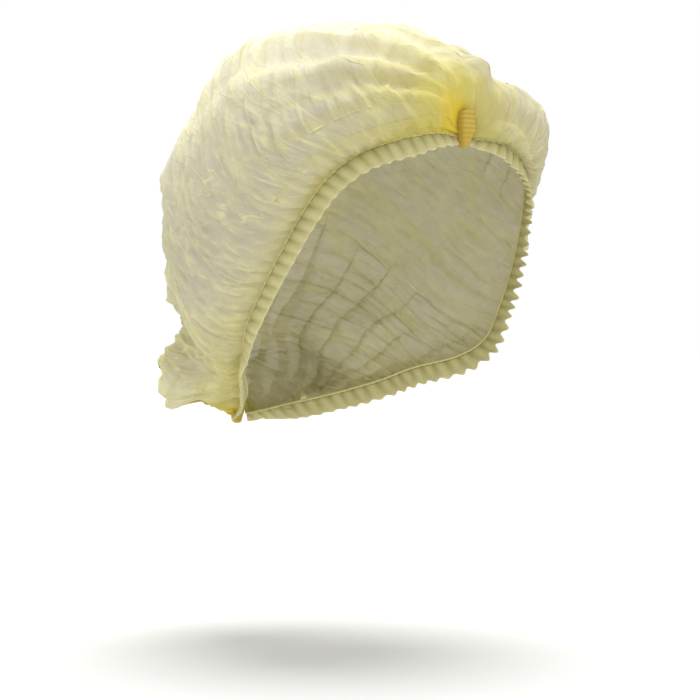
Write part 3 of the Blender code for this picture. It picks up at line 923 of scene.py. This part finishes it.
def lay_pleats():
    """Where each grid point of the sheet lies across the form, how high it is lifted, and
    where the cloth is threefold or turned over."""
    cells_in = cells_of_pleats()
    cloth = cells_in * flat_width / ACROSS_CELLS
    share = np.clip(slow_walk(PLEATS, 0.1, 1.9), 0.05, None) * cloth
    lift = slow_walk(PLEATS, 0.7, 1.4)
    number = np.append(np.repeat(np.arange(PLEATS), cells_in), PLEATS - 1)
    first = np.concatenate([[0], np.cumsum(cells_in)])[number]
    cell = np.arange(ACROSS_CELLS + 1) - first
    laid = np.zeros((ALONG_CELLS + 1, ACROSS_CELLS + 1))
    raised = np.zeros_like(laid)
    threefold = np.zeros_like(laid)
    turned = np.zeros_like(laid)
    to_fold = np.rint(FOLD_AT * cells_in)[number]
    limit = DEEPEST * cloth
    for row in range(ALONG_CELLS + 1):
        taken = share_out(flat_width - path_width[row], share[row], limit)
        pitch = cloth - taken
        starts = np.concatenate([[0.0], np.cumsum(pitch)])[:-1]
        doubled = taken * ease((taken - SLIDE) / SLIDE)
        behind_fold = 0.5 * doubled
        there = (pitch + behind_fold)[number]
        back = behind_fold[number]
        under = np.roll(behind_fold, 1)[number]
        slid = ease(taken[number] / SLIDE)
        tucked = ease(under / SLIDE)
        past_edge = np.clip((cell - UNDER_CELLS) / (to_fold - UNDER_CELLS), 0.0, 1.0)
        from_edge = under * np.clip(cell / UNDER_CELLS, 0.0, 1.0) + (there - under) * past_edge
        evenly = there * np.clip(cell / to_fold, 0.0, 1.0)
        back_part = np.clip((cell - to_fold) / (cells_in[number] - to_fold), 0.0, 1.0)
        used = (slid * (tucked * from_edge + (1.0 - tucked) * evenly + back * back_part)
                + (1.0 - slid) * cell / cells_in[number] * (there + back))
        folded = np.clip(2.0 * back / SLIDE, 0.0, 1.0)
        place = starts[number] + np.minimum(used, 2.0 * there - used)
        end = path_width[row]
        laid[row] = np.clip(np.where(place > end, 2.0 * end - place, place), 0.0, end)
        rise = np.minimum(used / there, (there + back - used) / np.maximum(back, 1e-6))
        raised[row] = rise * folded * lift[row, number] * (EDGE_LIFT + PLEAT_LIFT * back / there)
        under_part = np.clip(used / np.maximum(under, 1e-6), 0.0, 1.0)
        middle_hang = np.sin(math.pi * back_part) * np.clip(back / FULL_HANG, 0.0, 1.0)
        lowest_hang = LOWEST_HANG * np.sin(math.pi * under_part) * np.clip(
            under / FULL_HANG, 0.0, 1.0)
        raised[row] -= SAG * folded * (middle_hang + lowest_hang)
        over_next = np.clip(used - pitch[number] + 0.5, 0.0, 1.0)
        threefold[row] = folded * np.maximum(over_next, np.clip(under - used + 0.5, 0.0, 1.0))
        turned[row] = folded * ((back_part > 0.0) & (back_part < 1.0))
    return laid, raised, threefold, turned


laid, raised, threefold, turned = lay_pleats()
pleated = np.array([np.interp(at, row, form_lines) for at, row in zip(laid, path)])
print("pleats: deepest overlap %.1f mm" % (flat_width / PLEATS / 2))

# %% [markdown]
# ## The sheet in place
#
# Now every grid point of the sheet gets its place in space: on the worn form where its pleat
# laid it, then out along the form's normal by the pleat's lift and the creases' height.  A
# pinched crease also falls over to the rear.  At its two long edges the sheet reaches under the
# elastics, and at its ends it closes round the weld tabs.

# %% The sheet in place
SLOPE_STEP = 0.004              # along or across, to read the form's directions
RIDGE_LEAN = 0.6                # how far a crease falls over, of its height
EDGE_REACH = (0.55, 0.8)        # millimetres that the right and left edges reach under
HUG_REACH = 0.022               # along, over which the cloth closes round a weld tab
HUG_WIDTH = 0.61                # of the cloth's own width there, what is left at a tab
HUG_HEIGHT = 0.83               # the same for its height
TAB_MIDDLES = ((0.0, -53.5), (1.0, -186.0))     # along, and height in millimetres


def read_rows(table, pleated):
    """Read a field on the worn form, row by row, at the places where the cloth lies."""
    return np.array([np.interp(at, form_lines, row) for at, row in zip(pleated, table)])


def hug_tabs(points, along):
    """Draw the ends of the cloth in until they close round the weld tabs."""
    for end, middle in TAB_MIDDLES:
        share = np.clip(1.0 - np.abs(along - end) / HUG_REACH, 0.0, 1.0) ** 1.4
        points[..., 0] *= 1.0 + (HUG_WIDTH - 1.0) * share
        points[..., 2] = middle + (points[..., 2] - middle) * (1.0 + (HUG_HEIGHT - 1.0) * share)
    return points


cloth_along = np.repeat(along_lines[:, None], ACROSS_CELLS + 1, axis=1)
ahead = worn_form(np.minimum(cloth_along + SLOPE_STEP, 1.0), pleated)
behind = worn_form(np.maximum(cloth_along - SLOPE_STEP, 0.0), pleated)
leftward = unit(worn_form(cloth_along, np.minimum(pleated + SLOPE_STEP, 1.0))
                - worn_form(cloth_along, np.maximum(pleated - SLOPE_STEP, -1.0)))
rearward = unit(ahead - behind)
normals = unit(np.cross(leftward, rearward))
sheet_points = (worn_form(cloth_along, pleated)
                + normals * (raised + read_rows(heights, pleated))[..., None]
                + rearward * (RIDGE_LEAN * read_rows(ridges * openness, pleated))[..., None])
at_edge = np.clip((np.abs(pleated) - 0.97) / 0.03, 0.0, 1.0) * np.sign(pleated)
edge_reach = np.where(pleated > 0.0, EDGE_REACH[1], EDGE_REACH[0]) * at_edge
sheet_points += edge_reach[..., None] * leftward
sheet_points = hug_tabs(sheet_points, cloth_along)
low, high = sheet_points.min(axis=(0, 1)), sheet_points.max(axis=(0, 1))
print("sheet from", low.round(1), "to", high.round(1))

# %% [markdown]
# ## From a grid of points to a piece
#
# A flat grid made by Blender's own operator is bent to the points.  Its UV map is the cloth
# itself, so that every pattern follows the sheet, and its points carry the values that the
# material reads.  Edges past a right angle are kept sharp: there the cloth doubles back.

# %% From a grid of points to a piece
FOLD_ANGLE = math.radians(100.0)


def piece_from_grid(name, points, material, **fields):
    """Make a piece from a grid of points, in millimetres, with its own fields as attributes."""
    rows, columns = points.shape[:2]
    mesh = bpy.data.meshes.new(name)
    grid = bmesh.new()
    bmesh.ops.create_grid(grid, x_segments=rows - 1, y_segments=columns - 1, size=1.0)
    grid.to_mesh(mesh)
    grid.free()
    flat = np.empty(len(mesh.vertices) * 3)
    mesh.vertices.foreach_get("co", flat)
    flat = flat.reshape(-1, 3)
    row = np.rint((flat[:, 0] + 1.0) / 2.0 * (rows - 1)).astype(int)
    column = np.rint((1.0 - flat[:, 1]) / 2.0 * (columns - 1)).astype(int)
    mesh.vertices.foreach_set("co", (points[row, column] * MM).ravel())
    for field in ("layers", "crest", "shade", "airy", "turned"):
        grid_values = fields.get(field, np.zeros((rows, columns)))
        values = mesh.attributes.new(field, "FLOAT", "POINT")
        values.data.foreach_set("value", grid_values[row, column].astype(np.float32))
    corners = np.empty(len(mesh.loops), dtype=int)
    mesh.loops.foreach_get("vertex_index", corners)
    places = np.stack([fields["u"][row, column], fields["v"][row, column]], axis=-1)[corners]
    mesh.uv_layers.new(name="cloth").data.foreach_set("uv", (places / UV_MM).ravel())
    mesh.materials.append(material)
    mesh.shade_smooth()
    mesh.update()
    mesh.set_sharp_from_angle(angle=FOLD_ANGLE)
    piece = bpy.data.objects.new(name, mesh)
    scene.collection.objects.link(piece)
    return piece


print("edges stay sharp past %.0f degrees" % math.degrees(FOLD_ANGLE))

# %% [markdown]
# ## How packed the cloth is
#
# Where the worn form is small, much cloth lies on it: by the welds six layers and more, in the
# middle hardly more than one.  The count is the sheet's own area over the area that it covers.
# On top of that come the golden glow that spreads from each weld, stronger on the right side,
# and an olive band of painted shade along the hems, wider towards the front.  The tail is loose
# and pale.

# %% How packed the cloth is
PLEAT_SHADE = 0.11              # how much yellower three layers look than one
SWEEP = 0.4                     # run back per run up: the fine creases sweep back from the hem

cover = FLAT_LENGTH / ALONG_CELLS * flat_width / path_width[:, None]
count = cover / np.pad(np.maximum(step_along, 0.05), ((0, 1), (0, 0)), mode="edge")
hem_shade = 0.45 * np.exp(-(from_hem / 15.0) ** 1.2)
packed = np.clip((count - 1.5) / 9.0, 0.0, 1.0) + hem_shade
to_end = np.minimum(along, 1.0 - along)
rightness = -np.tanh(3.0 * across + 0.3)        # 1 on the right side, -1 on the left
weld_glow = (0.38 * np.exp(-(to_end / 0.03) ** 1.2)
             + 0.60 * np.exp(-(to_end / 0.105) ** 1.5) * (0.55 + 0.45 * rightness))
in_tail = (np.clip((along - 0.80) / 0.06, 0.0, 1.0) * np.clip((0.955 - along) / 0.04, 0.0, 1.0)
           * np.clip((from_hem - 8.0) / 20.0, 0.0, 1.0))
packed = np.clip(packed * 0.55 * (0.72 + 0.28 * rightness) + 0.6 * weld_glow, 0.0, 1.0)
packed *= 1.0 - 0.5 * in_tail
print("layers: middle %.2f, at the hem %.2f, by the weld %.1f" % (
    count[300, 180], count[300, 0], count[9, 180]))
to_front = np.clip(1.0 - along / 0.45, 0.0, 1.0)
# painted shade: an olive band along the hems, where the elastics pinch the cloth into gathers
painted_hem_shade = (0.15 + 0.28 * to_front) * (1.0 - 0.5 * in_tail)
painted_hem_shade *= np.exp(-(from_hem / (3.0 + 9.0 * to_front)) ** 1.3) * (1.0 - 0.7 * weld_glow)
swept = SWEEP * from_hem ** 2 / (from_hem + 15.0)

# %% [markdown]
# ## The crown
#
# The crown is the whole sheet, one piece without a seam.  It takes the place of the packed
# cap's crown, which has the same main shape without the fine relief.

# %% The crown
crown = piece_from_grid(
    "crown_sheet", sheet_points, crown_fabric, airy=read_rows(airy, pleated), turned=turned,
    shade=read_rows(painted_hem_shade, pleated),
    layers=np.clip(read_rows(packed, pleated) + PLEAT_SHADE * threefold, 0.0, 1.0),
    crest=read_rows(crests, pleated), u=read_rows(run - swept, pleated),
    v=read_rows(arc, pleated))
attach(crown, "root")
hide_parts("crown")
print("crown faces:", len(crown.data.polygons))

# %% [markdown]
# ## The line of an elastic
#
# An elastic thread runs just past the crown's edge, from one weld to the other.  The hem is
# laid out from the same line, so the line also gives two directions at each of its places:
# outward, away from the head, and away, on from the crown.

# %% The line of an elastic
WALL = 1.0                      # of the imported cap's crown
ELASTIC_RADIUS = 0.8
ELASTIC_GAP = 0.35
ELASTIC_START = 0.004           # along the crown, beside the weld tabs
ROUTE_STEPS = 400
IN_FROM_EDGE = 0.955            # across, to read which way the cloth runs at its edge
OUT_OF_HEAD = np.array([1.0, 0.8, 0.0])         # a head is longer than it is wide


def elastic_route(side, steps):
    """Middle line of an elastic, just past the crown's hem edge."""
    places = np.linspace(ELASTIC_START, 1.0 - ELASTIC_START, steps + 1)
    edge = folded_form(places, np.full_like(places, side))
    onward = unit(edge - folded_form(places, np.full_like(places, side * IN_FROM_EDGE)))
    route_run = unit(np.gradient(edge, axis=0))
    outward = side * unit(np.cross(onward, route_run))
    route = edge - outward * WALL / 2 + onward * (ELASTIC_GAP + ELASTIC_RADIUS)
    return hug_tabs(route, places)


def route_frame(route, side):
    """Reach along a route, and its outward and away directions."""
    reach = np.concatenate([[0.0], np.cumsum(np.linalg.norm(np.diff(route, axis=0), axis=1))])
    route_run = unit(np.gradient(route, axis=0))
    level = unit(route * OUT_OF_HEAD)
    outward = unit(level - route_run * np.sum(level * route_run, axis=1, keepdims=True))
    return reach, outward, side * unit(np.cross(route_run, outward))


stretched = route_frame(elastic_route(-1.0, ROUTE_STEPS), -1.0)[0][-1]
print("right elastic %.0f mm, so a lobe every %.1f mm" % (stretched, stretched / HEM_LOBES))

# %% [markdown]
# ## Closed tubes
#
# Hems and elastics are tubes.  A tube is a grid of points whose last column is its first one
# again; merging the two closes it, and its open ends are filled.

# %% Closed tubes
MERGE_DISTANCE = 1e-7


def tube_from_grid(name, points, material, **fields):
    """A closed tube: rows along it, columns round it, and a cap at each end."""
    def wrapped(grid):
        return np.concatenate([grid, grid[:, :1]], axis=1)

    piece = piece_from_grid(name, wrapped(points), material,
                            **{key: wrapped(grid) for key, grid in fields.items()})
    tube = bmesh.new()
    tube.from_mesh(piece.data)
    bmesh.ops.remove_doubles(tube, verts=tube.verts, dist=MERGE_DISTANCE)
    bmesh.ops.holes_fill(tube, edges=[edge for edge in tube.edges if edge.is_boundary], sides=0)
    bmesh.ops.recalc_face_normals(tube, faces=tube.faces)
    tube.to_mesh(piece.data)
    tube.free()
    piece.data.shade_smooth()
    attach(piece, "root")
    return piece


print("columns closer than %.4f mm merge" % (MERGE_DISTANCE / MM))

# %% [markdown]
# ## Ruffled hems
#
# Past the elastic the folded hem stands free: two layers of fabric joined at their edge, held
# short on one side only, so they ruffle.  The outer layer puffs up into a lobe between every
# two pinches.  The hem is a flattened tube: its columns go out along the outer layer and come
# back along the inner one.

# %% Ruffled hems
HEM_WIDTH = 8.8
HEM_FLARE = 2.0                 # how far the free edge stands out from the head
HEM_END_WIDTH = 0.45            # of its width, how much is left beside the welds
HEM_END_REACH = 0.09            # along, over which it narrows
HEM_START = 0.1                 # millimetres that the hem stays short of the elastic's ends
HEM_STEPS = 920
LAYER_COLUMNS = 15              # from the elastic to the free edge, on each layer
LOBE_RISE = 0.65                # how far the outer layer puffs up between two pinches
LOBE_SLANT = 0.40               # of a lobe, from the elastic to the free edge
LAYER_GAP = 0.35                # half the distance between the two layers
RUFFLE_RISE = {-1.0: 0.9, 1.0: 1.7}     # at the free edge; the right one lies flatter


def make_hem(name, side, material):
    """Two layers of fabric past the elastic, gathered into lobes and pinched between them."""
    route = elastic_route(side, ROUTE_STEPS)
    reach, outward, away = route_frame(route, side)
    places = np.linspace(0.0, 1.0, HEM_STEPS + 1)
    at = HEM_START + places * (reach[-1] - 2 * HEM_START)

    def read(values):
        return np.stack([np.interp(at, reach, column) for column in values.T], axis=-1)[:, None, :]

    edges = np.concatenate([[0.0], np.cumsum(rng.uniform(0.8, 1.2, HEM_LOBES))])
    lobes = np.arange(HEM_LOBES + 1.0)
    phase = np.interp(places, edges / edges[-1], lobes)
    lively = np.interp(phase, lobes, rng.uniform(0.7, 1.2, HEM_LOBES + 1))[:, None]
    grown = np.clip(np.minimum(places, 1.0 - places) / HEM_END_REACH, 0.0, 1.0)
    taper = (HEM_END_WIDTH + (1.0 - HEM_END_WIDTH) * grown)[:, None]
    out = np.linspace(0.0, 1.0, LAYER_COLUMNS)
    width = np.concatenate([out, out[::-1][1:-1]])[None, :]
    outer = (np.arange(width.size) < LAYER_COLUMNS)[None, :]
    wave = 2 * math.pi * (phase[:, None] + LOBE_SLANT * width)
    pinch = np.abs(np.cos(wave / 2 - math.pi / 4))
    ruffle = RUFFLE_RISE[side] * lively * taper * width ** 1.3 * np.sin(wave)
    bulge = np.sin(math.pi * (0.1 + 0.9 * width))
    lobe = LOBE_RISE * lively * taper * pinch ** 0.6 * np.clip(bulge, 0.0, 1.0) ** 0.7
    apart = LAYER_GAP * np.sqrt(np.clip(bulge, 0.0, 1.0))
    rise = ruffle + HEM_FLARE * width + np.where(outer, lobe + apart, -apart)
    reached = (HEM_WIDTH + 0.5 * np.sin(wave) + 0.3 * (lively - 1)) * taper * width
    past = 0.6 * ELASTIC_RADIUS + reached
    points = read(route) + read(away) * past[..., None] + read(outward) * rise[..., None]
    # more cloth in the pinches near the elastic, with painted shade in the notches between lobes
    layers_there = 0.40 * (1.0 - pinch ** 0.7) * (1.0 - 0.7 * width) + 0.12 * (1.0 - width)
    rim = np.clip((width - 0.86) / 0.14, 0.0, 1.0) + 0 * wave
    # painted shade: darker olive towards the elastic and in the pinches between the lobes
    painted_gather_shade = (0.45 * (1.0 - width) ** 1.6 * (0.55 + 0.45 * (1.0 - pinch))
                + 0.35 * (1.0 - pinch ** 0.8) * (1.0 - 0.8 * width))
    piece = tube_from_grid(name, points, material, layers=layers_there, crest=rim, shade=painted_gather_shade,
                           u=at[:, None] + 0 * wave, v=past)
    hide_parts(name.replace("ruffled_", ""))
    return piece


print("quads in each hem's tube:", HEM_STEPS * (2 * LAYER_COLUMNS - 2))

# %% [markdown]
# ## Elastics
#
# The thread itself is sealed inside the hem.  What shows is the fabric bunched round it: a thin
# round welt with two puckers to every lobe of the hem.

# %% Elastics
ELASTIC_STEPS = 560
ELASTIC_SIDES = 12
PUCKER_DEPTH = 0.14             # of the radius


def make_elastic(name, side, material):
    """The thread in its fabric wrap, puckered by the gathers."""
    route = elastic_route(side, ELASTIC_STEPS)
    reach, outward, away = route_frame(route, side)
    around = np.linspace(0.0, 2 * math.pi, ELASTIC_SIDES, endpoint=False)[None, :]
    swell = np.sin(4 * math.pi * HEM_LOBES * reach / reach[-1])[:, None]
    pucker = ELASTIC_RADIUS * (1.0 - PUCKER_DEPTH + PUCKER_DEPTH * swell)
    points = (route[:, None, :] + (pucker * np.cos(around))[..., None] * outward[:, None, :]
              + (pucker * np.sin(around))[..., None] * away[:, None, :])
    level = 0.0 * pucker * around
    piece = tube_from_grid(name, points, material, u=reach[:, None] + level, v=level + around)
    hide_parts(name.replace("wrapped_", ""))
    return piece


print("puckers:", 2 * HEM_LOBES, "on each elastic")

# %% [markdown]
# ## Both sides
#
# The two sides differ only in their seeded randomness and in how high the ruffle stands, so
# one loop makes the hem and the elastic of each.

# %% Both sides
for hand, side in (("right", -1.0), ("left", 1.0)):
    make_hem("ruffled_hem_" + hand, side, hem_fabric)
    make_elastic("wrapped_elastic_" + hand, side, elastic_wrap)

# %% [markdown]
# ## Welded tabs
#
# At each end all the pleats of the strip are pressed together between ribbed jaws and welded by
# ultrasound.  That leaves a small stiff tab: a soft-edged block with eight ribs across its
# front, which narrows to a beak below.  One function says where each point of an upright
# cylinder goes in that shape, from its turn round the cylinder and its height.

# %% Welded tabs
TAB_WIDTH = 8.0
TAB_HEIGHT = 17.5
TAB_DEPTH = 7.0
TAB_RIBS = 8
TAB_RIB_DEPTH = 0.35
TAB_BEAK = 0.45                 # of its height, the part that narrows
TAB_BEAK_WIDTH = 0.35           # of its width, how much is left at the tip
TAB_BEAK_DEPTH = 0.70
TAB_BEAK_LEAN = 0.65            # millimetres that the tip lies to one side
TAB_SHOULDER = 0.15
TAB_TOP_WIDTH = 0.65
TAB_TIP_ROUND = 0.07            # of its height, rounded at the tip and at the top
TAB_TOP_ROUND = 0.05
SQUARENESS = 0.5                # a power: 1 keeps the cylinder round


def ribbed(turn, height, facing):
    """Where a point of the cylinder goes, in millimetres from the tab's corner, and a value for
    its colour that goes darker gold in the sunk grooves and in the beak."""
    beak = max(0.0, 1.0 - height / TAB_BEAK)
    shoulder = max(0.0, height - 1.0 + TAB_SHOULDER) / TAB_SHOULDER
    wide = 1.0 - (1.0 - TAB_BEAK_WIDTH) * beak
    wide *= 1.0 - (1.0 - TAB_TOP_WIDTH) * shoulder ** 2
    deep = 1.0 - (1.0 - TAB_BEAK_DEPTH) * beak
    tip = max(0.0, 1.0 - height / TAB_TIP_ROUND)
    top = max(0.0, (height - 1.0 + TAB_TOP_ROUND) / TAB_TOP_ROUND)
    rounded = 0.35 + 0.65 * math.sqrt(max(0.0, 1.0 - max(tip, top) ** 2))
    x = math.copysign(abs(math.cos(turn)) ** SQUARENESS, math.cos(turn))
    y = math.copysign(abs(math.sin(turn)) ** SQUARENESS, math.sin(turn))
    front = 0.5 + 0.5 * facing * y
    rib = abs(math.sin(math.pi * TAB_RIBS * height)) ** 0.6
    sunk = (1.0 - rib) * front * (1.0 - 0.75 * beak)
    groove = TAB_RIB_DEPTH * sunk
    sideways = x * (0.5 * TAB_WIDTH * wide * rounded - 0.25 * groove) - TAB_BEAK_LEAN * beak
    forward = facing * (TAB_DEPTH * deep * (0.5 + (front - 0.5) * rounded) - groove)
    return (sideways, forward, height * TAB_HEIGHT), 0.30 + 0.30 * sunk + 0.20 * beak


print("a rib every %.1f mm" % (TAB_HEIGHT / TAB_RIBS))

# %% [markdown]
# ## Making the tabs
#
# The cylinder comes from Blender's cone operator and is cut into many rings, fine enough to
# carry the ribs.  Both tabs stand on the strip's middle line and face away from the head.

# %% Making the tabs
TAB_SIDES = 40
TAB_RINGS = 119


def make_tab(name, corner, facing, material):
    """A tab of welded pleats: a soft-edged block whose front and sides wave into ribs."""
    tab = bmesh.new()
    bmesh.ops.create_cone(tab, cap_ends=True, segments=TAB_SIDES, radius1=1.0, radius2=1.0,
                          depth=1.0)
    upright = [edge for edge in tab.edges if abs(edge.verts[0].co.z - edge.verts[1].co.z) > 0.5]
    bmesh.ops.subdivide_edges(tab, edges=upright, cuts=TAB_RINGS)
    tab_layers = []
    for vertex in tab.verts:
        shift, layers_there = ribbed(math.atan2(vertex.co.y, vertex.co.x), vertex.co.z + 0.5,
                                     facing)
        vertex.co = Vector(corner) + Vector(shift)
        tab_layers.append(layers_there)
    bmesh.ops.recalc_face_normals(tab, faces=tab.faces)
    bmesh.ops.scale(tab, vec=(MM, MM, MM), verts=tab.verts)
    mesh = bpy.data.meshes.new(name)
    tab.to_mesh(mesh)
    tab.free()
    mesh.attributes.new("layers", "FLOAT", "POINT").data.foreach_set("value", tab_layers)
    corners = np.empty(len(mesh.loops), dtype=int)
    mesh.loops.foreach_get("vertex_index", corners)
    points = np.array([vertex.co[:] for vertex in mesh.vertices])[corners]
    mesh.uv_layers.new(name="cloth").data.foreach_set(
        "uv", (points[:, [0, 2]] / (UV_MM * MM)).ravel())
    mesh.materials.append(material)
    mesh.shade_smooth()
    piece = bpy.data.objects.new(name, mesh)
    scene.collection.objects.link(piece)
    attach(piece, "root")
    return piece


tabs = [make_tab("front_weld_tab", (0.0, -85.5, -63.0), -1.0, weld_fabric),
        make_tab("rear_weld_tab", (0.0, 85.5, -196.0), 1.0, weld_fabric)]
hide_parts("front_clip")
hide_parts("rear_clip")
print("tabs:", [len(piece.data.polygons) for piece in tabs])

# %% [markdown]
# ## The sheet laid flat
#
# Printing how much of that rectangle the mesh really holds shows how honest the folds are. The
# rest lies in gathers and puckers too fine to model.

# %% The sheet laid flat
sheet_area = sum(face.area for face in crown.data.polygons)
flat_area = flat_width * FLAT_LENGTH * MM * MM
print("crown %.4f m2, its rectangle laid flat %.4f m2, ratio %.2f" % (
    sheet_area, flat_area, sheet_area / flat_area))
